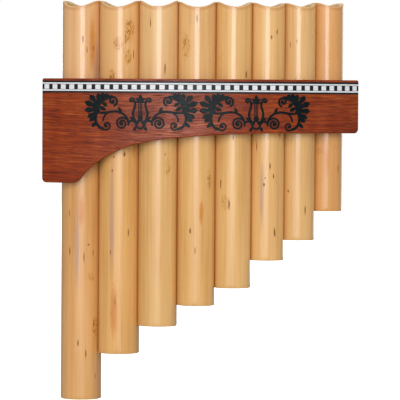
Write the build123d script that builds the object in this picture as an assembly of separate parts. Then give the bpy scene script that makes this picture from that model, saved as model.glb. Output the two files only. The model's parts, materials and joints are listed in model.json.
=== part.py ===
from build123d import *
import math
import os

# Pan flute: eight bamboo tubes side by side on an arc, glued to the hollow side of a bent
# mahogany board that carries an inlaid purfling strip and two scroll ornaments.
# Z runs up the tubes to the blown mouths. The board bulges towards -Y, the player is at +Y.
# The origin is the centre of the bounding box's underside. All lengths are in millimetres.

# Tubes, from the lowest note (left, -X) to the highest (right, +X)
TUBE_DIAMETERS = (17.5, 17.6, 17.0, 16.4, 15.9, 15.0, 14.6, 14.2)
TUBE_LENGTHS = (167.9, 147.8, 136.1, 127.0, 119.7, 108.1, 99.7, 87.9)
AIR_COLUMNS = (157.0, 139.2, 123.5, 116.4, 103.2, 91.4, 81.0, 76.3)
WALL = 2.0
CONTACT_FLAT = 0.5
FIRST_TUBE_ANGLE = -25.5
END_CHAMFER = 0.4

# Blown mouths: a scallop sunk across each tube, rounded into its neighbours
MOUTH_DIPS = (167.9, 167.8, 168.1, 167.9, 168.1, 168.2, 168.3, 168.8)
SCALLOP_RADIUS = 12.0
CREST_RADIUS = 2.5

# Tuning stoppers, in a seat reamed a little wider than the air column
SEAT_STEP = 0.3
STOPPER_CLEARANCE = 0.05
STOPPER_LENGTH = 6.5
STOPPER_TRAVEL = 2.0
STOPPER_CHAMFER = 0.5

# Bent front board
BOARD_FRONT_RADIUS = 130.5
BOARD_THICKNESS = 5.0
BOARD_HALF_ANGLE = 31.4
BOARD_TOP_Z = 137.3
BASS_END_HEIGHT = 44.5
TREBLE_END_HEIGHT = 22.8
LOWER_CORNER_RADIUS = 2.0
UPPER_CORNER_RADIUS = 0.8
ARRIS_RADIUS = 0.4
TUBE_SEAT_DEPTH = 0.8
OUTLINE_START = (-56.2, -44.5)
OUTLINE_MIDDLE = ((-49.4, -40.0), (-41.0, -33.1), (-31.6, -28.7), (-18.0, -25.7), (4.0, -23.7))
OUTLINE_FINISH = (44.0, -22.8)

# Purfling strip let into the board
STRIP_CENTRE_Z = 133.77
STRIP_DEPTH = 0.9
STRIP_BACKING = 0.25
BLACK_LINE = 0.8
WHITE_LINE = 0.6
INNER_LINE = 0.18
INNER_LINE_DEPTH = 0.3
CHECK_HEIGHT = 2.35
CHECK_WIDTH = 1.7
CHECK_PITCH_ANGLE = 1.737
CHECKS_EACH_SIDE = 18

# Scroll ornaments, laid on the board's face
ORNAMENT_THICKNESS = 0.1
ORNAMENT_Z = 122.7
ORNAMENT_SCALE = 1.06
ORNAMENT_ANGLES = (-11.85, 9.83)
STRING = 0.4
STEM = 0.7
TENDRIL = 0.95
VOLUTE_STEPS = 14
VOLUTE_CLOSING = 0.8
VOLUTE_EYE = 0.24
LEAF_PARTING = 0.3

MARGIN = 2.0

BOARD_BACK_RADIUS = BOARD_FRONT_RADIUS - BOARD_THICKNESS
SEAT_RADIUS = BOARD_BACK_RADIUS + TUBE_SEAT_DEPTH
LIST_OF_TUBES = range(len(TUBE_LENGTHS))


def outer_radius(index):
    return TUBE_DIAMETERS[index] / 2


def bore_radius(index):
    return outer_radius(index) - WALL


def axis_radius(index):
    """Distance of a tube's axis from the axis of the arc."""
    return SEAT_RADIUS - outer_radius(index)


def spacing(index):
    """Distance between the axes of a tube and its right-hand neighbour."""
    return outer_radius(index) + outer_radius(index + 1) - CONTACT_FLAT


def tube_angles():
    """Angles of the tubes' axes round the arc, each tube resting against the last."""
    angles = [FIRST_TUBE_ANGLE]
    for index in LIST_OF_TUBES[:-1]:
        near = axis_radius(index)
        far = axis_radius(index + 1)
        cosine = (near**2 + far**2 - spacing(index) ** 2) / (2 * near * far)
        angles.append(angles[-1] + math.degrees(math.acos(cosine)))
    return angles


ANGLES = tube_angles()
BACK_REACH = axis_radius(0) * math.cos(math.radians(ANGLES[0])) - outer_radius(0)
ARC_CENTRE_Y = (BOARD_FRONT_RADIUS + ORNAMENT_THICKNESS + BACK_REACH) / 2


def on_arc(radius, angle, z=0.0):
    """Point at a radius and an angle round the arc, angle 0 facing -Y."""
    turn = math.radians(angle)
    return Vector(radius * math.sin(turn), ARC_CENTRE_Y - radius * math.cos(turn), z)


def along_arc(angle):
    turn = math.radians(angle)
    return Vector(math.cos(turn), math.sin(turn), 0)


def outward(angle):
    turn = math.radians(angle)
    return Vector(math.sin(turn), -math.cos(turn), 0)


def bent_plate(inner, outer, low_z, high_z, half_angle=BOARD_HALF_ANGLE):
    """Plate bent round the arc, between two radii and two heights."""
    edges = [
        ThreePointArc(on_arc(outer, -half_angle), on_arc(outer, 0), on_arc(outer, half_angle)),
        Line(on_arc(outer, half_angle), on_arc(inner, half_angle)),
        ThreePointArc(on_arc(inner, half_angle), on_arc(inner, 0), on_arc(inner, -half_angle)),
        Line(on_arc(inner, -half_angle), on_arc(outer, -half_angle)),
    ]
    plate = extrude(make_face(edges), high_z - low_z, dir=(0, 0, 1))
    return Pos(0, 0, low_z) * plate


def upright(radius, low_z, high_z):
    """Round bar along Z between two heights."""
    return Pos(0, 0, (low_z + high_z) / 2) * Cylinder(radius, high_z - low_z)


def tube_place(index):
    """Local frame of a tube: X along the arc, Y away from the board, Z up."""
    origin = on_arc(axis_radius(index), ANGLES[index])
    return Plane(origin=origin, x_dir=along_arc(ANGLES[index]), z_dir=(0, 0, 1)).location


def tube_bottom(index):
    return MOUTH_DIPS[index] - TUBE_LENGTHS[index]


def stopper_top(index):
    return MOUTH_DIPS[index] - AIR_COLUMNS[index]


def mouth_cutter(index):
    """Everything above the scalloped mouth of a tube, in the tube's own frame."""
    half_width = outer_radius(index) - CONTACT_FLAT / 2
    centres = SCALLOP_RADIUS + CREST_RADIUS
    drop = math.sqrt(centres**2 - half_width**2)
    dip = MOUTH_DIPS[index]
    crest_z = dip + centres - drop
    share = SCALLOP_RADIUS / centres
    join_x = half_width * share
    join_z = dip + SCALLOP_RADIUS - drop * share
    side = outer_radius(index) + MARGIN
    roof = dip + 3 * CREST_RADIUS
    edges = [
        Line((-side, crest_z), (-half_width, crest_z)),
        TangentArc((-half_width, crest_z), (-join_x, join_z), tangent=(1, 0)),
        ThreePointArc((-join_x, join_z), (0, dip), (join_x, join_z)),
        TangentArc((half_width, crest_z), (join_x, join_z), tangent=(-1, 0)),
        Line((half_width, crest_z), (side, crest_z)),
        Line((side, crest_z), (side, roof)),
        Line((side, roof), (-side, roof)),
        Line((-side, roof), (-side, crest_z)),
    ]
    return extrude(Plane.XZ * make_face(edges), side, both=True)


def neighbour_cutter(index, other):
    """Half space beyond the flat where a tube meets a neighbour."""
    here = on_arc(axis_radius(index), ANGLES[index])
    there = on_arc(axis_radius(other), ANGLES[other])
    direction = (there - here).normalized()
    gap = (there - here).length
    reach = (gap**2 + outer_radius(index) ** 2 - outer_radius(other) ** 2) / (2 * gap)
    face = Plane(origin=here + direction * reach, z_dir=direction)
    size = 2 * MOUTH_DIPS[index] + 4 * MARGIN
    return face.location * Box(size, size, size, align=(Align.CENTER, Align.CENTER, Align.MIN))


def make_tube(index):
    bottom = tube_bottom(index)
    shoulder = stopper_top(index) + STOPPER_TRAVEL
    roof = MOUTH_DIPS[index] + 2 * CREST_RADIUS
    outside = upright(outer_radius(index), bottom, roof)
    outside = chamfer(outside.edges().sort_by(Axis.Z)[0], END_CHAMFER)
    tube = outside - mouth_cutter(index)
    tube -= upright(bore_radius(index), bottom - MARGIN, roof + MARGIN)
    tube -= upright(bore_radius(index) + SEAT_STEP, bottom - MARGIN, shoulder)
    tube = tube_place(index) * tube
    for other in (index - 1, index + 1):
        if other in LIST_OF_TUBES:
            tube -= neighbour_cutter(index, other)
    return tube


def make_stopper(index):
    radius = bore_radius(index) + SEAT_STEP - STOPPER_CLEARANCE
    top = stopper_top(index)
    stopper = upright(radius, top - STOPPER_LENGTH, top)
    stopper = chamfer(stopper.edges().filter_by(GeomType.CIRCLE), STOPPER_CHAMFER)
    return tube_place(index) * stopper


def board_outline():
    """Front silhouette of the board: deep at the bass end, narrow at the treble end."""
    side = BOARD_FRONT_RADIUS
    start = (OUTLINE_START[0], -BASS_END_HEIGHT)
    finish = (OUTLINE_FINISH[0], -TREBLE_END_HEIGHT)
    edges = [
        Line((-side, 0), (side, 0)),
        Line((side, 0), (side, -TREBLE_END_HEIGHT)),
        Line((side, -TREBLE_END_HEIGHT), finish),
        Spline(start, *OUTLINE_MIDDLE, finish, tangents=((1, 0), (1, 0))),
        Line(start, (-side, -BASS_END_HEIGHT)),
        Line((-side, -BASS_END_HEIGHT), (-side, 0)),
    ]
    return Plane.XZ.offset(-ARC_CENTRE_Y) * Pos(0, BOARD_TOP_Z) * make_face(edges)


def end_corners(board):
    """The four edges that run through the board's thickness at its ends, by height."""
    lines = board.edges().filter_by(GeomType.LINE)
    level = [edge for edge in lines if abs(edge.tangent_at(0).Z) < 0.01]
    through = [edge for edge in level if abs(edge.length - BOARD_THICKNESS) < 0.01]
    return ShapeList(through).sort_by(Axis.Z)


def face_edges(board, radius):
    """Edges of the board that lie on one of its two bent faces."""
    axis_point = Vector(0, ARC_CENTRE_Y, 0)
    chosen = []
    for edge in board.edges():
        offsets = [edge.position_at(share) - axis_point for share in (0.1, 0.5, 0.9)]
        if all(abs(math.hypot(offset.X, offset.Y) - radius) < 0.01 for offset in offsets):
            chosen.append(edge)
    return chosen


def make_blank():
    """The bent board before the strip and the tubes are let into it."""
    board = bent_plate(
        BOARD_BACK_RADIUS, BOARD_FRONT_RADIUS, BOARD_TOP_Z - BASS_END_HEIGHT - MARGIN, BOARD_TOP_Z
    )
    board &= extrude(board_outline(), 2 * BOARD_FRONT_RADIUS, dir=(0, -1, 0))
    board = fillet(end_corners(board)[:2], LOWER_CORNER_RADIUS)
    board = fillet(end_corners(board)[-2:], UPPER_CORNER_RADIUS)
    board = fillet(face_edges(board, BOARD_FRONT_RADIUS), ARRIS_RADIUS)
    return fillet(face_edges(board, BOARD_BACK_RADIUS), ARRIS_RADIUS)


def make_board(blank):
    half_strip = strip_heights()[-1]
    board = blank - bent_plate(
        BOARD_FRONT_RADIUS - STRIP_DEPTH,
        BOARD_FRONT_RADIUS + MARGIN,
        STRIP_CENTRE_Z - half_strip,
        STRIP_CENTRE_Z + half_strip,
        BOARD_HALF_ANGLE + MARGIN,
    )
    for index in LIST_OF_TUBES:
        board -= tube_place(index) * upright(outer_radius(index), 0, MOUTH_DIPS[index])
    return board


def strip_heights():
    """Half heights of the check row, with its white lines, and with its black lines."""
    checks = CHECK_HEIGHT / 2
    return checks, checks + WHITE_LINE, checks + WHITE_LINE + BLACK_LINE


def check_blocks(height):
    """Row of blocks at the places of the dark checks."""
    block = Box(CHECK_WIDTH, 4 * STRIP_DEPTH, height)
    places = []
    for number in range(-CHECKS_EACH_SIDE, CHECKS_EACH_SIDE + 1):
        angle = number * CHECK_PITCH_ANGLE
        origin = on_arc(BOARD_FRONT_RADIUS, angle, STRIP_CENTRE_Z)
        places.append(Plane(origin=origin, x_dir=along_arc(angle), z_dir=(0, 0, 1)).location)
    return Part() + [place * block for place in places]


def make_strip(blank):
    """The strip's glued layers, trimmed to the rounded ends of the board.

    A thin dark line runs between the check row and each white line."""
    checks, white, black = strip_heights()
    face = BOARD_FRONT_RADIUS
    middle = face - STRIP_DEPTH + STRIP_BACKING
    floor = face - STRIP_DEPTH
    centre = STRIP_CENTRE_Z
    row = bent_plate(middle, face, centre - checks, centre + checks)
    inlay = bent_plate(face - INNER_LINE_DEPTH, face, centre - checks, centre + checks)
    inner = checks - INNER_LINE
    inlay -= bent_plate(middle, face + MARGIN, centre - inner, centre + inner)
    dark_checks = (row & check_blocks(CHECK_HEIGHT)) + inlay
    backing = bent_plate(floor, middle, centre - white, centre + white)
    ladder = bent_plate(middle, face, centre - white, centre + white) - dark_checks
    layers = {
        "strip_black_upper": bent_plate(floor, face, centre + white, centre + black),
        "strip_black_lower": bent_plate(floor, face, centre - black, centre - white),
        "strip_white_ladder": ladder,
        "strip_dark_checks": backing + dark_checks,
    }
    return {name: layer & blank for name, layer in layers.items()}


def disc(x, y, radius):
    return Pos(x, y) * Circle(radius)


def ring(x, y, radius, width):
    return Pos(x, y) * (Circle(radius) - Circle(radius - width))


def stroke(width, *points):
    """Smooth line of one width through the points, with round ends."""
    line = Spline(*points) if len(points) > 2 else Line(*points)
    body = trace(line, width)
    return body + disc(*points[0], width / 2) + disc(*points[-1], width / 2)


def volute(width, x, y, radius, start, turns):
    """Spiral stroke wound in to a round eye; positive turns run anticlockwise."""
    points = []
    for step in range(VOLUTE_STEPS + 1):
        share = step / VOLUTE_STEPS
        turn = math.radians(start + 360 * turns * share)
        reach = radius * (1 - VOLUTE_CLOSING * share)
        points.append((x + reach * math.cos(turn), y + reach * math.sin(turn)))
    return stroke(width, *points) + disc(x, y, VOLUTE_EYE * radius)


def leaf(x, y, length, width, angle):
    """Pointed leaf growing from its foot at (x, y) towards an angle."""
    tip = (length, 0)
    edges = [
        ThreePointArc((0, 0), (length / 2, width / 2), tip),
        ThreePointArc(tip, (length / 2, -width / 2), (0, 0)),
    ]
    return Pos(x, y) * Rot(0, 0, angle) * make_face(edges)


def lyre_half():
    """Right half of the lyre: arm, scroll, crossbar, string and foot."""
    return [
        stroke(TENDRIL, (0.9, -4.0), (2.4, -2.3), (2.9, 0.2), (2.1, 3.0), (2.5, 4.9)),
        volute(0.75, 3.55, 5.1, 1.15, 190, -1.0),
        stroke(STEM, (0, 4.4), (2.4, 4.4)),
        stroke(STRING, (0.62, 4.2), (0.62, -1.6)),
        ring(0, -4.5, 2.0, 0.85),
        leaf(1.6, -5.2, 2.2, 1.2, -60),
        leaf(2.3, -2.4, 2.2, 1.0, 20),
    ]


def scroll_half():
    """Right-hand scrolls between the lyre and the foliage."""
    return [
        volute(0.8, 7.4, -4.1, 2.65, 190, -1.8),
        stroke(TENDRIL, (1.7, -4.2), (3.2, -3.0), (4.8, -3.7)),
        stroke(TENDRIL, (4.75, -3.9), (6.2, -0.9), (9.4, 0.6), (13.2, 0.3), (17.0, 0.3)),
        leaf(7.6, 0.1, 2.8, 1.2, 62),
        stroke(1.15, (17.0, 1.0), (18.3, -2.2), (17.3, -5.0), (15.2, -6.2)),
        volute(0.75, 13.7, -5.0, 1.75, -50, -1.2),
        stroke(0.8, (12.2, 0.5), (14.4, -0.9), (15.2, -2.9)),
        leaf(18.0, -1.6, 3.4, 1.8, -28),
        leaf(17.9, -3.6, 2.8, 1.5, -45),
    ]


def foliage_half():
    """Right-hand foliage: a curled stem and the leaves that fan out of it."""
    leaves = [
        volute(0.9, 11.2, 4.9, 1.95, 250, -1.3),
        stroke(1.5, (11.7, 6.4), (13.8, 6.0), (16.2, 4.4), (17.6, 1.0)),
        leaf(13.0, 6.0, 2.2, 1.6, 60),
        leaf(14.4, 5.0, 3.4, 2.2, 66),
        leaf(16.2, 4.0, 4.1, 2.6, 72),
        leaf(17.2, 3.2, 5.4, 2.9, 48),
        leaf(17.6, 2.2, 5.8, 2.8, 24),
        leaf(17.6, 1.2, 5.4, 2.7, 0),
        leaf(17.4, 0.2, 4.8, 2.5, -24),
        leaf(15.6, 4.2, 2.6, 1.5, 214),
        leaf(17.0, 2.6, 3.4, 1.6, 206),
    ]
    partings = [
        stroke(LEAF_PARTING, (18.0, 5.3), (18.9, 8.4)),
        stroke(LEAF_PARTING, (19.2, 4.1), (23.0, 6.9)),
        stroke(LEAF_PARTING, (19.6, 2.2), (24.0, 3.0)),
        stroke(LEAF_PARTING, (19.3, 0.4), (23.6, -0.8)),
    ]
    return Sketch() + leaves - partings


def ornament_half():
    """Right half of an ornament, with X out from its centre line and Y up."""
    return foliage_half() + lyre_half() + scroll_half()


def make_ornament(angle):
    """Scroll ornament wrapped on the board's face."""
    half = ornament_half()
    crown = [leaf(0, 4.2, 3.4, 1.7, 90), leaf(0, 4.5, 2.5, 1.1, 140), leaf(0, 4.5, 2.5, 1.1, 40)]
    middle = [stroke(STRING, (0, 4.4), (0, -1.6)), disc(0, -2.0, 1.1)]
    shape = scale(half + mirror(half, about=Plane.YZ) + crown + middle, by=ORNAMENT_SCALE)
    plane = Plane(origin=on_arc(0, 0, ORNAMENT_Z), x_dir=along_arc(angle), z_dir=outward(angle))
    prism = extrude(plane * shape, BOARD_FRONT_RADIUS + MARGIN)
    top = BOARD_TOP_Z
    face = BOARD_FRONT_RADIUS
    return bent_plate(face, face + ORNAMENT_THICKNESS, top - BASS_END_HEIGHT, top) & prism


def main():
    blank = make_blank()
    nodes = {"front_board": make_board(blank)}
    nodes.update(make_strip(blank))
    for index in LIST_OF_TUBES:
        nodes[f"tube_{index + 1}"] = make_tube(index)
        nodes[f"stopper_{index + 1}"] = make_stopper(index)
    for side, angle in zip(("left", "right"), ORNAMENT_ANGLES):
        nodes[f"ornament_{side}"] = make_ornament(angle)
    os.makedirs("parts", exist_ok=True)
    for name, shape in nodes.items():
        export_step(shape, f"parts/{name}.step")


main()
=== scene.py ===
import bpy
import json
import math
import random
from mathutils import Matrix, Vector

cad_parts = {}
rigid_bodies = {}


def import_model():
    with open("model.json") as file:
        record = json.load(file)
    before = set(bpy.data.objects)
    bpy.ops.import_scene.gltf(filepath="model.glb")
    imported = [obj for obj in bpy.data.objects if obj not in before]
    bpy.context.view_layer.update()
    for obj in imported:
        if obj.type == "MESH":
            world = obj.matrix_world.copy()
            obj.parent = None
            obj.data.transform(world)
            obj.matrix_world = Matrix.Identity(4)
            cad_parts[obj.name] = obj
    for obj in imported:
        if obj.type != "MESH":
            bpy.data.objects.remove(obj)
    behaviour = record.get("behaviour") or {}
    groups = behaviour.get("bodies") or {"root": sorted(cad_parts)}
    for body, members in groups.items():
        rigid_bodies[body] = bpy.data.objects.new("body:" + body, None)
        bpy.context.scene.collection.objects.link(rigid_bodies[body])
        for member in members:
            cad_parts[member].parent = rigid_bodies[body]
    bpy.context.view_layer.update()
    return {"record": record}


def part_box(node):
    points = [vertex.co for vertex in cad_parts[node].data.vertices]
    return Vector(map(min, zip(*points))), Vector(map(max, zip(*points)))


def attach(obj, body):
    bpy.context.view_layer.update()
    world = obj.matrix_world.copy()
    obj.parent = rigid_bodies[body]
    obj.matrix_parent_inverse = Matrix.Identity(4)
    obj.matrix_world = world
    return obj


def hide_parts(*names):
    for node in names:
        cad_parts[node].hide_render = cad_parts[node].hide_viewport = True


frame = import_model()

MM = 0.001
TUBE_COUNT = 8
WALL = 2.0 * MM
ARC_RADIUS = 130.5 * MM
CAMERA_TURN = -3.68
CAMERA_HEIGHT = 0.13175
AIM_HEIGHT = 0.0862

board_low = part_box("front_board")[0]
ARC_CENTRE = Vector((0.0, board_low.y + ARC_RADIUS, 0.0))
mounts = {mount["name"]: mount for mount in frame["record"]["mounts"]}


# ---------------------------------------------------------------- tubes

SEGMENTS = 112
ROW_STEP = 1.2 * MM
SCALLOP_RADIUS = 12.0 * MM
CREST_RADIUS = 2.5 * MM
CONTACT = 0.25 * MM
LIP_OUTER = 0.6 * MM
LIP_INNER = 0.5 * MM
FOOT_ROUND = 0.45 * MM
FOOT_CHAMFER = 0.2 * MM
SEAT_STEP = 0.3 * MM
RIM_ROWS = 6
RIM_STEP = 0.3 * MM
# How far from the flat where two tubes meet the painted seam shade reaches
SEAM_SHADE_REACH = 0.9 * MM
# Per-vertex shares: rim stain, painted shade with glue colour at the seams, inner wall and cut end
ZONES = ("rim", "seam_glue_and_shade", "inside", "cut")


class Tube:
    """What the frame says about one tube, in metres."""

    def __init__(self, number):
        mouth = mounts[f"mouth_{number}"]
        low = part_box(f"tube_{number}")[0]
        self.number = number
        self.axis = Vector((mouth["pos_m"][0], mouth["pos_m"][1], 0.0))
        self.bore = mouth["dims"]["r_mm"] * MM
        self.radius = self.bore + WALL
        self.bottom = low.z
        self.dip = mouth["pos_m"][2]
        self.shoulder = self.dip - mouth["dims"]["length_mm"] * MM
        offset = self.axis - ARC_CENTRE
        self.turn = math.atan2(offset.x, -offset.y)
        self.along = Vector((math.cos(self.turn), math.sin(self.turn), 0.0))
        self.back = Vector((-math.sin(self.turn), math.cos(self.turn), 0.0))

    def mouth_height(self, across):
        """Height of the scalloped mouth at a distance across the tube."""
        half = self.radius - CONTACT
        centres = SCALLOP_RADIUS + CREST_RADIUS
        drop = math.sqrt(centres**2 - half**2)
        across = min(abs(across), half)
        if across <= half * SCALLOP_RADIUS / centres:
            return self.dip + SCALLOP_RADIUS - math.sqrt(SCALLOP_RADIUS**2 - across**2)
        crest = self.dip + centres - drop
        return crest - CREST_RADIUS + math.sqrt(CREST_RADIUS**2 - (half - across) ** 2)


TUBES = [Tube(number) for number in range(1, TUBE_COUNT + 1)]


def flats(tube):
    """Directions and distances of the flats where a tube meets its neighbours."""
    found = []
    for other in TUBES:
        if abs(other.number - tube.number) != 1:
            continue
        way = other.axis - tube.axis
        gap = way.length
        reach = (gap**2 + tube.radius**2 - other.radius**2) / (2 * gap)
        found.append((way.normalized(), reach))
    return found


def unevenness(tube, angle, z):
    """Small inward departures of the cane from a true cylinder."""
    seed = tube.number * 1.7
    oval = 0.5 + 0.5 * math.sin(2 * angle + seed)
    bow = 0.5 + 0.5 * math.sin(z / (41 * MM) + 2.3 * seed + math.cos(angle))
    ripple = 0.5 + 0.5 * math.sin(5 * angle + z / (17 * MM) + seed)
    return (0.05 * oval + 0.05 * bow + 0.02 * ripple) * MM


def profile(tube, angle, limits):
    """Closed section of the wall at one angle, from the foot up the outside and down the bore.

    Each entry is (radius, height, zone values): rim darkening, painted shade and glue colour next to the
    seams, inner wall and cut end."""
    ray = tube.along * math.cos(angle) + tube.back * math.sin(angle)
    across = math.cos(angle)
    caps = [reach / ray.dot(way) for way, reach in limits if ray.dot(way) > 0.1]
    outside = min([tube.radius] + caps)
    near = max([ray.dot(way) * tube.radius - reach for way, reach in limits])
    # Painted shade and glue colour: rises to 1 within the reach of a flat where this tube meets a
    # neighbour
    seam_glue_and_shade = min(1.0, max(0.0, 1 + near / SEAM_SHADE_REACH))
    seat = tube.bore + SEAT_STEP

    def skin(z):
        return min(tube.radius - unevenness(tube, angle, z), outside)

    rows = []
    for step in range(4):
        bend = math.pi / 2 * step / 3
        radius = skin(tube.bottom) - FOOT_ROUND * (1 - math.sin(bend))
        height = tube.bottom + FOOT_ROUND * (1 - math.cos(bend))
        rows.append((radius, height, (0, seam_glue_and_shade, 0, 1 - step / 3)))
    top = tube.mouth_height(outside * across) - LIP_OUTER
    start = tube.bottom + FOOT_ROUND
    fine = top - RIM_ROWS * RIM_STEP
    count = int((tube.dip - tube.bottom) / ROW_STEP)
    for row in range(1, count):
        z = start + (fine - start) * row / count
        rows.append((skin(z), z, (0, seam_glue_and_shade, 0, 0)))
    for row in range(RIM_ROWS):
        z = fine + RIM_STEP * row
        rows.append((skin(z), z, (row / RIM_ROWS, seam_glue_and_shade, 0, 0)))
    for step in range(6):
        bend = math.pi / 2 * step / 5
        radius = skin(top) - LIP_OUTER * (1 - math.cos(bend))
        height = tube.mouth_height(radius * across) - LIP_OUTER * (1 - math.sin(bend))
        rows.append((radius, height, (1 - step / 5, seam_glue_and_shade, 0, step / 5)))
    middle = (skin(top) - LIP_OUTER + tube.bore + LIP_INNER) / 2
    rows.append((middle, tube.mouth_height(middle * across), (0, 0, 0, 1)))
    for step in range(5):
        bend = math.pi / 2 * step / 4
        radius = tube.bore + LIP_INNER * (1 - math.sin(bend))
        height = tube.mouth_height(radius * across) - LIP_INNER * (1 - math.cos(bend))
        rows.append((radius, height, (0, 0, step / 4, 1 - step / 4)))
    inner_top = rows[-1][1]
    for row in range(1, 9):
        rows.append((tube.bore, inner_top + (tube.shoulder - inner_top) * row / 8, (0, 0, 1, 0)))
    rows.append((seat, tube.shoulder, (0, 0, 1, 0)))
    rows.append((seat, (tube.shoulder + tube.bottom) / 2, (0, 0, 1, 0)))
    rows.append((seat, tube.bottom + FOOT_CHAMFER, (0, 0, 1, 0.5)))
    rows.append((seat + FOOT_CHAMFER, tube.bottom, (0, 0, 0, 1)))
    return rows


def link(obj):
    bpy.context.collection.objects.link(obj)
    return obj


def build_tube(tube):
    limits = flats(tube)
    verts, faces, zones = [], [], []
    columns = []
    for segment in range(SEGMENTS):
        angle = math.pi / 2 + 2 * math.pi * segment / SEGMENTS
        ray = tube.along * math.cos(angle) + tube.back * math.sin(angle)
        columns.append(len(verts))
        for radius, height, shares in profile(tube, angle, limits):
            point = tube.axis + ray * radius
            verts.append((point.x, point.y, height))
            zones.append(shares)
    length = columns[1] - columns[0]
    for segment in range(SEGMENTS):
        here = columns[segment]
        there = columns[(segment + 1) % SEGMENTS]
        for row in range(length):
            after = (row + 1) % length
            faces.append((here + row, there + row, there + after, here + after))
    mesh = bpy.data.meshes.new(f"bamboo_tube_{tube.number}")
    mesh.from_pydata(verts, [], faces)
    mesh.update()
    for face in mesh.polygons:
        face.use_smooth = True
    for place, name in enumerate(ZONES):
        layer = mesh.attributes.new(name, "FLOAT", "POINT")
        layer.data.foreach_set("value", [shares[place] for shares in zones])
    obj = link(bpy.data.objects.new(f"bamboo_tube_{tube.number}", mesh))
    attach(obj, "flute")
    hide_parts(f"tube_{tube.number}")
    return obj


# ---------------------------------------------------------------- node helpers


def node(tree, kind, values=None, **settings):
    made = tree.nodes.new(kind)
    for key, value in settings.items():
        setattr(made, key, value)
    for key, value in (values or {}).items():
        if isinstance(value, bpy.types.NodeSocket):
            tree.links.new(value, made.inputs[key])
        else:
            made.inputs[key].default_value = value
    return made


def calc(tree, operation, *terms, clamp=False):
    values = dict(enumerate(terms))
    return node(tree, "ShaderNodeMath", values, operation=operation, use_clamp=clamp).outputs[0]


def vector(tree, operation, *terms):
    return node(tree, "ShaderNodeVectorMath", dict(enumerate(terms)), operation=operation).outputs[0]


def mixed(tree, factor, first, second, blend="MIX"):
    values = {0: factor, 6: first, 7: second}
    made = node(tree, "ShaderNodeMix", values, data_type="RGBA", blend_type=blend)
    return made.outputs[2]


def mixed_value(tree, factor, first, second):
    return node(tree, "ShaderNodeMix", {0: factor, 2: first, 3: second}, data_type="FLOAT").outputs[0]


def noise(tree, place, stretch, detail=2.0, roughness=0.5, distortion=0.0):
    """Noise in millimetres: stretch is the number of cells per millimetre along X, Y and Z."""
    scaled = vector(tree, "MULTIPLY", place, tuple(1000 * s for s in stretch))
    values = {
        "Vector": scaled, "Scale": 1.0, "Detail": detail, "Roughness": roughness, "Distortion": distortion,
    }
    return node(tree, "ShaderNodeTexNoise", values).outputs[0]


def remap(tree, value, low, high, to_low=0.0, to_high=1.0):
    values = {0: value, 1: low, 2: high, 3: to_low, 4: to_high}
    made = node(tree, "ShaderNodeMapRange", values, interpolation_type="SMOOTHSTEP")
    return made.outputs[0]


def ramp(tree, value, *stops):
    made = node(tree, "ShaderNodeValToRGB", {0: value})
    elements = made.color_ramp.elements
    while len(elements) < len(stops):
        elements.new(0.5)
    for element, (position, colour) in zip(elements, stops):
        element.position = position
        element.color = (*colour, 1)
    return made.outputs[0]


def material(name):
    made = bpy.data.materials.new(name)
    made.use_nodes = True
    tree = made.node_tree
    return made, tree, tree.nodes["Principled BSDF"]


def object_place(tree):
    return node(tree, "ShaderNodeTexCoord").outputs["Object"]


def bump(tree, height, strength, distance):
    values = {"Height": height, "Strength": strength, "Distance": distance}
    return node(tree, "ShaderNodeBump", values).outputs[0]


# ---------------------------------------------------------------- materials

# Marks of each kind: how many each tube has, from the longest to the shortest, then the ranges of
# their half widths and half lengths in mm. Blotches are nets of fine dark lines on an orange ground
MARKS = {
    "spots": ((16, 10, 3, 4, 5, 14, 6, 3), (0.2, 0.45), (0.4, 2.4)),
    "blotches": ((2, 6, 1, 2, 1, 1, 2, 1), (1.1, 1.9), (1.4, 5.0)),
    "streaks": ((2, 2, 0, 1, 0, 0, 0, 1), (0.7, 1.5), (4.0, 12.0)),
    "greying": ((2, 1, 0, 0, 0, 1, 0, 0), (0.8, 1.6), (10.0, 30.0)),
}
MARK_TURN = 45.0
MARK_MARGIN = 4.0
# The second tube is blotched towards its mouth: the share of the height where its blotches start
BLOTCHED_FROM = {2: 0.8}
BLOTCH_STRENGTH = {1: 0.7, 2: 1.0, 3: 0.5, 4: 0.7, 5: 0.4, 6: 0.5, 7: 0.5, 8: 0.3}
# Tint of each tube's cane
TINTS = {
    1: (0.93, 0.82, 0.77), 2: (0.97, 0.88, 0.75), 3: (0.96, 0.94, 0.91), 4: (0.98, 0.94, 0.87),
    5: (1.0, 0.99, 0.97), 6: (1.01, 0.99, 0.99), 7: (0.98, 0.98, 1.02), 8: (0.92, 0.76, 0.66),
}
# How much the upper end of each tube is lightened
TOP_LIGHTENING = {1: 0.30, 2: 0.20, 3: 0.30, 4: 0.20, 5: 0.04, 6: 0.06, 7: 0.06, 8: 0.04}


def scattered(tube, kind):
    """Marks at random places on a tube's front: turn, height, half width and half length."""
    counts, widths, lengths = MARKS[kind]
    draw = random.Random(f"{kind} {tube.number}")
    low = tube.bottom / MM + MARK_MARGIN
    high = tube.dip / MM - MARK_MARGIN
    if kind == "blotches":
        low += (high - low) * BLOTCHED_FROM.get(tube.number, 0.0)
    marks = []
    for _ in range(counts[tube.number - 1]):
        turn = draw.uniform(-MARK_TURN, MARK_TURN)
        marks.append((turn, draw.uniform(low, high), draw.uniform(*widths), draw.uniform(*lengths)))
    return marks


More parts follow.
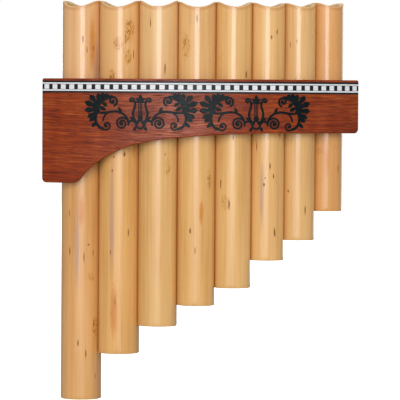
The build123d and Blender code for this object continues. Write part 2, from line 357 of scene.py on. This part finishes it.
def mark_field(tree, tube, place, ragged, marks):
    """How strongly a set of soft-edged marks covers a point, from 0 to 1."""
    total = None
    for turn, height, half_width, half_length in marks:
        way = math.radians(turn)
        centre = tube.axis + Vector((math.sin(way), -math.cos(way), 0)) * tube.radius
        centre.z = height * MM
        away = vector(tree, "SUBTRACT", place, tuple(centre))
        size = (half_width * MM, half_width * MM, half_length * MM)
        scaled = vector(tree, "DIVIDE", away, size)
        reach = node(tree, "ShaderNodeVectorMath", {0: scaled}, operation="LENGTH").outputs["Value"]
        rough = calc(tree, "ADD", reach, ragged)
        cover = remap(tree, rough, 1.45, 0.45)
        total = cover if total is None else calc(tree, "MAXIMUM", total, cover)
    return total


def zone(tree, name):
    return node(tree, "ShaderNodeAttribute", attribute_name=name).outputs["Fac"]


def bamboo(tube):
    made, tree, shader = material(f"bamboo_{tube.number}")
    place = object_place(tree)
    shifted = vector(tree, "ADD", place, (0.31 * tube.number, 0.17 * tube.number, 0.53 * tube.number))
    fibre = noise(tree, shifted, (2.4, 2.4, 0.045), 3.0, 0.55)
    streak = noise(tree, shifted, (0.55, 0.55, 0.010), 2.0, 0.5)
    cloud = noise(tree, shifted, (0.09, 0.09, 0.02), 2.0, 0.5)
    ticks = noise(tree, shifted, (1.6, 1.6, 0.4), 2.0, 0.5)
    tone = calc(tree, "ADD", calc(tree, "MULTIPLY", fibre, 0.35), calc(tree, "MULTIPLY", streak, 0.35))
    tone = calc(tree, "ADD", tone, calc(tree, "MULTIPLY", cloud, 0.3))
    tint = TINTS[tube.number]
    stops = (
        (0.35, (0.605, 0.312, 0.092)), (0.46, (0.70, 0.398, 0.137)), (0.54, (0.74, 0.433, 0.157)),
        (0.65, (0.795, 0.488, 0.194)),
    )
    tinted = [(spot, tuple(c * t for c, t in zip(colour, tint))) for spot, colour in stops]
    colour = ramp(tree, tone, *tinted)
    height = node(tree, "ShaderNodeSeparateXYZ", {0: place}).outputs[2]
    # Lightens the cane towards a pale tan, rising from 90 mm up to 150 mm
    lightened_top = remap(tree, height, 90 * MM, 150 * MM, 0.0, TOP_LIGHTENING[tube.number])
    colour = mixed(tree, lightened_top, colour, (0.86, 0.56, 0.31, 1))
    flecks = remap(tree, ticks, 0.68, 0.78, 0.0, 0.4)
    colour = mixed(tree, flecks, colour, (0.40, 0.19, 0.05, 1))

    ragged = calc(tree, "SUBTRACT", noise(tree, shifted, (1.3, 1.3, 0.5), 3.0, 0.65), 0.5)
    ragged = calc(tree, "MULTIPLY", ragged, 1.8)
    veins = noise(tree, shifted, (0.36, 0.36, 0.24), 2.0, 0.6, 1.1)
    veins = calc(tree, "ABSOLUTE", calc(tree, "SUBTRACT", veins, 0.5))
    veins = remap(tree, veins, 0.085, 0.015)
    greying = scattered(tube, "greying")
    if greying:
        cover = mark_field(tree, tube, place, calc(tree, "MULTIPLY", ragged, 0.25), greying)
        cover = calc(tree, "MULTIPLY", cover, remap(tree, fibre, 0.3, 0.6, 0.40, 0.85))
        colour = mixed(tree, cover, colour, (0.43, 0.255, 0.185, 1))
    streaks = scattered(tube, "streaks")
    if streaks:
        cover = mark_field(tree, tube, place, calc(tree, "MULTIPLY", ragged, 0.5), streaks)
        colour = mixed(tree, calc(tree, "MULTIPLY", cover, 0.85), colour, (0.58, 0.205, 0.024, 1))
    blotch = mark_field(tree, tube, place, ragged, scattered(tube, "blotches"))
    strength = BLOTCH_STRENGTH[tube.number]
    colour = mixed(tree, calc(tree, "MULTIPLY", blotch, 0.55 * strength), colour, (0.62, 0.27, 0.035, 1))
    drawn = calc(tree, "MULTIPLY", calc(tree, "MULTIPLY", blotch, veins), 0.95 * strength)
    colour = mixed(tree, drawn, colour, (0.34, 0.12, 0.006, 1))
    spots = mark_field(tree, tube, place, ragged, scattered(tube, "spots"))
    colour = mixed(tree, calc(tree, "MULTIPLY", spots, 0.75), colour, (0.42, 0.155, 0.016, 1))
    colour = mixed(tree, remap(tree, spots, 0.5, 1.0, 0.0, 0.85), colour, (0.18, 0.055, 0.002, 1))

    rim = remap(tree, zone(tree, "rim"), 0.1, 0.8, 0.0, 0.5)
    colour = mixed(tree, rim, colour, (0.52, 0.215, 0.06, 1))
    # Painted shade in the narrow grooves where tubes meet, together with the brown of the glue line: the
    # cane is darkened to orange-brown next to the flats
    seam_glue_and_shade = remap(tree, zone(tree, "seam_glue_and_shade"), 0.4, 1.0, 0.0, 0.42)
    colour = mixed(tree, seam_glue_and_shade, colour, (0.50, 0.20, 0.025, 1))
    inside = zone(tree, "inside")
    pith = ramp(tree, fibre, (0.3, (0.50, 0.31, 0.14)), (0.7, (0.64, 0.44, 0.23)))
    colour = mixed(tree, inside, colour, pith)
    cut = zone(tree, "cut")
    bundles = node(tree, "ShaderNodeTexVoronoi", {"Vector": place, "Scale": 2100.0}).outputs["Distance"]
    grain = ramp(tree, bundles, (0.25, (0.36, 0.20, 0.085)), (0.5, (0.70, 0.49, 0.26)))
    colour = mixed(tree, cut, colour, grain)

    tree.links.new(colour, shader.inputs["Base Color"])
    raw = calc(tree, "MAXIMUM", inside, calc(tree, "MULTIPLY", cut, 2.5, clamp=True))
    rough = mixed_value(tree, raw, remap(tree, streak, 0.3, 0.7, 0.36, 0.46), 0.75)
    tree.links.new(rough, shader.inputs["Roughness"])
    tree.links.new(mixed_value(tree, raw, 0.75, 0.0), shader.inputs["Coat Weight"])
    shader.inputs["Specular IOR Level"].default_value = 0.45
    shader.inputs["Coat Roughness"].default_value = 0.10
    height = calc(tree, "ADD", calc(tree, "MULTIPLY", fibre, 0.4), calc(tree, "MULTIPLY", streak, 0.6))
    height = calc(tree, "SUBTRACT", height, calc(tree, "MULTIPLY", spots, 0.5))
    tree.links.new(bump(tree, height, 0.35, 0.08 * MM), shader.inputs["Normal"])
    return made


def board_place(tree):
    """Coordinates unrolled from the bent board: along the bend, through it, and up."""
    place = object_place(tree)
    moved = vector(tree, "SUBTRACT", place, tuple(ARC_CENTRE))
    parts = node(tree, "ShaderNodeSeparateXYZ", {0: moved})
    front = calc(tree, "MULTIPLY", parts.outputs[1], -1.0)
    turn = calc(tree, "ARCTAN2", parts.outputs[0], front)
    along = calc(tree, "MULTIPLY", turn, ARC_RADIUS)
    flat = node(tree, "ShaderNodeCombineXYZ", {0: parts.outputs[0], 1: parts.outputs[1]}).outputs[0]
    radius = node(tree, "ShaderNodeVectorMath", {0: flat}, operation="LENGTH").outputs["Value"]
    return node(tree, "ShaderNodeCombineXYZ", {0: along, 1: radius, 2: parts.outputs[2]}).outputs[0]


def mahogany():
    made, tree, shader = material("mahogany")
    place = board_place(tree)
    sway = noise(tree, place, (0.02, 0.1, 0.05), 2.0)
    drift = node(tree, "ShaderNodeCombineXYZ", {2: calc(tree, "MULTIPLY", sway, 5 * MM)}).outputs[0]
    place = vector(tree, "ADD", place, drift)
    band = noise(tree, place, (0.010, 0.2, 0.22), 3.0, 0.55)
    grain = noise(tree, place, (0.060, 0.8, 3.0), 3.0, 0.65)
    ribbon = noise(tree, place, (0.16, 0.3, 0.10), 2.0, 0.5)
    pores = noise(tree, place, (0.13, 2.0, 3.2), 2.0, 0.55)
    tone = calc(tree, "ADD", calc(tree, "MULTIPLY", grain, 0.62), calc(tree, "MULTIPLY", band, 0.22))
    tone = calc(tree, "ADD", tone, calc(tree, "MULTIPLY", ribbon, 0.16))
    colour = ramp(
        tree, tone, (0.36, (0.115, 0.010, 0.001)), (0.45, (0.200, 0.023, 0.003)),
        (0.54, (0.275, 0.041, 0.006)), (0.64, (0.41, 0.090, 0.018)),
    )
    pore = remap(tree, pores, 0.54, 0.66)
    colour = mixed(tree, calc(tree, "MULTIPLY", pore, 0.65), colour, (0.060, 0.006, 0.001, 1))
    tree.links.new(colour, shader.inputs["Base Color"])
    rough = remap(tree, grain, 0.38, 0.60, 0.40, 0.17)
    tree.links.new(rough, shader.inputs["Roughness"])
    shader.inputs["Specular IOR Level"].default_value = 0.34
    height = calc(tree, "SUBTRACT", calc(tree, "MULTIPLY", grain, 0.8), calc(tree, "MULTIPLY", pore, 0.6))
    tree.links.new(bump(tree, height, 1.0, 0.12 * MM), shader.inputs["Normal"])
    return made


def veneer(name, dark, light, rough):
    """Dyed wood of the strip."""
    made, tree, shader = material(name)
    place = board_place(tree)
    grain = noise(tree, place, (0.5, 1.0, 3.5), 3.0, 0.6)
    colour = ramp(tree, grain, (0.3, dark), (0.7, light))
    tree.links.new(colour, shader.inputs["Base Color"])
    spread = remap(tree, grain, 0.3, 0.7, rough + 0.06, rough - 0.04)
    tree.links.new(spread, shader.inputs["Roughness"])
    shader.inputs["Specular IOR Level"].default_value = 0.25
    tree.links.new(bump(tree, grain, 0.25, 0.03 * MM), shader.inputs["Normal"])
    return made


def cork():
    made, tree, shader = material("cork")
    place = object_place(tree)
    crumbs = node(tree, "ShaderNodeTexVoronoi", {"Vector": place, "Scale": 900.0}).outputs["Color"]
    crumb = node(tree, "ShaderNodeSeparateColor", {0: crumbs}).outputs[0]
    fine = noise(tree, place, (2.5, 2.5, 2.5), 4.0, 0.7)
    holes = remap(tree, noise(tree, place, (1.1, 1.1, 1.1), 3.0, 0.6), 0.62, 0.70)
    tone = calc(tree, "ADD", calc(tree, "MULTIPLY", crumb, 0.5), calc(tree, "MULTIPLY", fine, 0.5))
    colour = ramp(
        tree, tone, (0.2, (0.30, 0.16, 0.075)), (0.5, (0.50, 0.31, 0.16)), (0.8, (0.64, 0.43, 0.25)),
    )
    colour = mixed(tree, holes, colour, (0.10, 0.045, 0.02, 1))
    tree.links.new(colour, shader.inputs["Base Color"])
    tree.links.new(remap(tree, fine, 0.3, 0.7, 0.75, 0.95), shader.inputs["Roughness"])
    height = calc(tree, "SUBTRACT", fine, holes)
    tree.links.new(bump(tree, height, 0.6, 0.15 * MM), shader.inputs["Normal"])
    return made


def ornament_ink():
    made, tree, shader = material("ornament_black")
    place = board_place(tree)
    mottle = noise(tree, place, (0.8, 1.0, 0.8), 3.0, 0.6)
    colour = ramp(tree, mottle, (0.3, (0.0015, 0.0040, 0.005)), (0.7, (0.006, 0.013, 0.015)))
    tree.links.new(colour, shader.inputs["Base Color"])
    tree.links.new(remap(tree, mottle, 0.3, 0.7, 0.42, 0.32), shader.inputs["Roughness"])
    shader.inputs["Specular IOR Level"].default_value = 0.16
    grain = noise(tree, place, (0.07, 0.8, 2.1), 3.0, 0.65)
    tree.links.new(bump(tree, grain, 1.0, 0.10 * MM), shader.inputs["Normal"])
    return made


def dress_cad():
    finishes = {
        "mahogany": mahogany(),
        "cork": cork(),
        "strip_black": veneer("strip_black", (0.008, 0.008, 0.009), (0.022, 0.020, 0.023), 0.4),
        "strip_white": veneer("strip_white", (0.60, 0.62, 0.64), (0.76, 0.78, 0.80), 0.4),
        "ornament_black": ornament_ink(),
    }
    for part in frame["record"]["subparts"]:
        finish = finishes.get(part["material_slot"])
        if finish is None:
            continue
        for spot in bpy.data.objects[part["node"]].material_slots:
            spot.material = finish


# ---------------------------------------------------------------- studio

LIGHT_TARGET = (0, 0, 0.1)
WORLD_DIFFUSE = 0.46
WORLD_GLOSSY = 0.22
WORLD_SEEN = 1.0
FLOOR_HALF = 6.0
FLOOR_DROP = 0.2 * MM
FLOOR_GLOW = 0.75
CAMERA_DISTANCE = 1.266
VIEW_WIDTH = 0.16888
CAMERA_SHIFT = 0.041
CAMERA_ROLL = 0.37


def area_light(name, place, size, radiance):
    data = bpy.data.lights.new(name, "AREA")
    data.shape = "RECTANGLE"
    data.size, data.size_y = size
    data.energy = radiance * math.pi * size[0] * size[1]
    obj = link(bpy.data.objects.new(name, data))
    way = Vector(LIGHT_TARGET) - Vector(place)
    obj.matrix_world = Matrix.Translation(place) @ way.to_track_quat("-Z", "Y").to_matrix().to_4x4()


def facing(distance, height, turn=CAMERA_TURN):
    way = math.radians(turn)
    point = ARC_CENTRE + Vector((math.sin(way), -math.cos(way), 0)) * (ARC_RADIUS + distance)
    point.z = height
    return point


def studio():
    world = bpy.data.worlds.new("studio")
    bpy.context.scene.world = world
    world.use_nodes = True
    tree = world.node_tree
    backdrop = tree.nodes["Background"]
    backdrop.inputs[0].default_value = (1, 1, 1, 1)
    path = node(tree, "ShaderNodeLightPath").outputs
    dimmed = mixed_value(tree, path["Is Glossy Ray"], WORLD_DIFFUSE, WORLD_GLOSSY)
    tree.links.new(mixed_value(tree, path["Is Camera Ray"], dimmed, WORLD_SEEN), backdrop.inputs[1])

    area_light("key", facing(1.7, 0.655), (0.84, 1.2), 5.5)
    area_light("low key", facing(1.7, 0.04), (0.84, 0.1), 1.25)
    area_light("fill", facing(2.2, 0.6, -14), (2.0, 1.6), 1.1)
    area_light("top", (0, 0.1, 1.6), (2.0, 2.0), 0.6)
    area_light("rear key", (-0.25, 1.9, 0.7), (0.5, 1.3), 4.0)
    area_light("rear fill", (0.9, 1.7, 0.6), (1.8, 1.4), 1.3)

    mesh = bpy.data.meshes.new("floor")
    corners = [(-1, -1), (1, -1), (1, 1), (-1, 1)]
    verts = [(x * FLOOR_HALF, y * FLOOR_HALF, -FLOOR_DROP) for x, y in corners]
    mesh.from_pydata(verts, [], [(0, 1, 2, 3)])
    floor = link(bpy.data.objects.new("floor", mesh))
    made, tree, shader = material("floor")
    paper = noise(tree, object_place(tree), (0.02, 0.02, 0.02), 3.0)
    white = ramp(tree, paper, (0.3, (0.9, 0.9, 0.9)), (0.7, (0.93, 0.93, 0.93)))
    tree.links.new(white, shader.inputs["Base Color"])
    shader.inputs["Emission Color"].default_value = (1, 1, 1, 1)
    shader.inputs["Emission Strength"].default_value = FLOOR_GLOW
    shader.inputs["Roughness"].default_value = 0.9
    mesh.materials.append(made)
    floor.visible_diffuse = False
    floor.visible_glossy = False


def camera():
    data = bpy.data.cameras.new("camera")
    data.sensor_width = 36
    data.lens = data.sensor_width * CAMERA_DISTANCE / VIEW_WIDTH
    data.shift_x = CAMERA_SHIFT
    data.clip_end = 100
    obj = link(bpy.data.objects.new("camera", data))
    place = facing(CAMERA_DISTANCE, CAMERA_HEIGHT)
    look = facing(0.0, AIM_HEIGHT) - place
    turn = look.to_track_quat("-Z", "Y").to_matrix().to_4x4()
    roll = Matrix.Rotation(math.radians(CAMERA_ROLL), 4, "Z")
    obj.matrix_world = Matrix.Translation(place) @ turn @ roll
    bpy.context.scene.camera = obj


camera()
studio()
for tube in TUBES:
    build_tube(tube).data.materials.append(bamboo(tube))
dress_cad()
bpy.context.scene.view_settings.view_transform = "Standard"
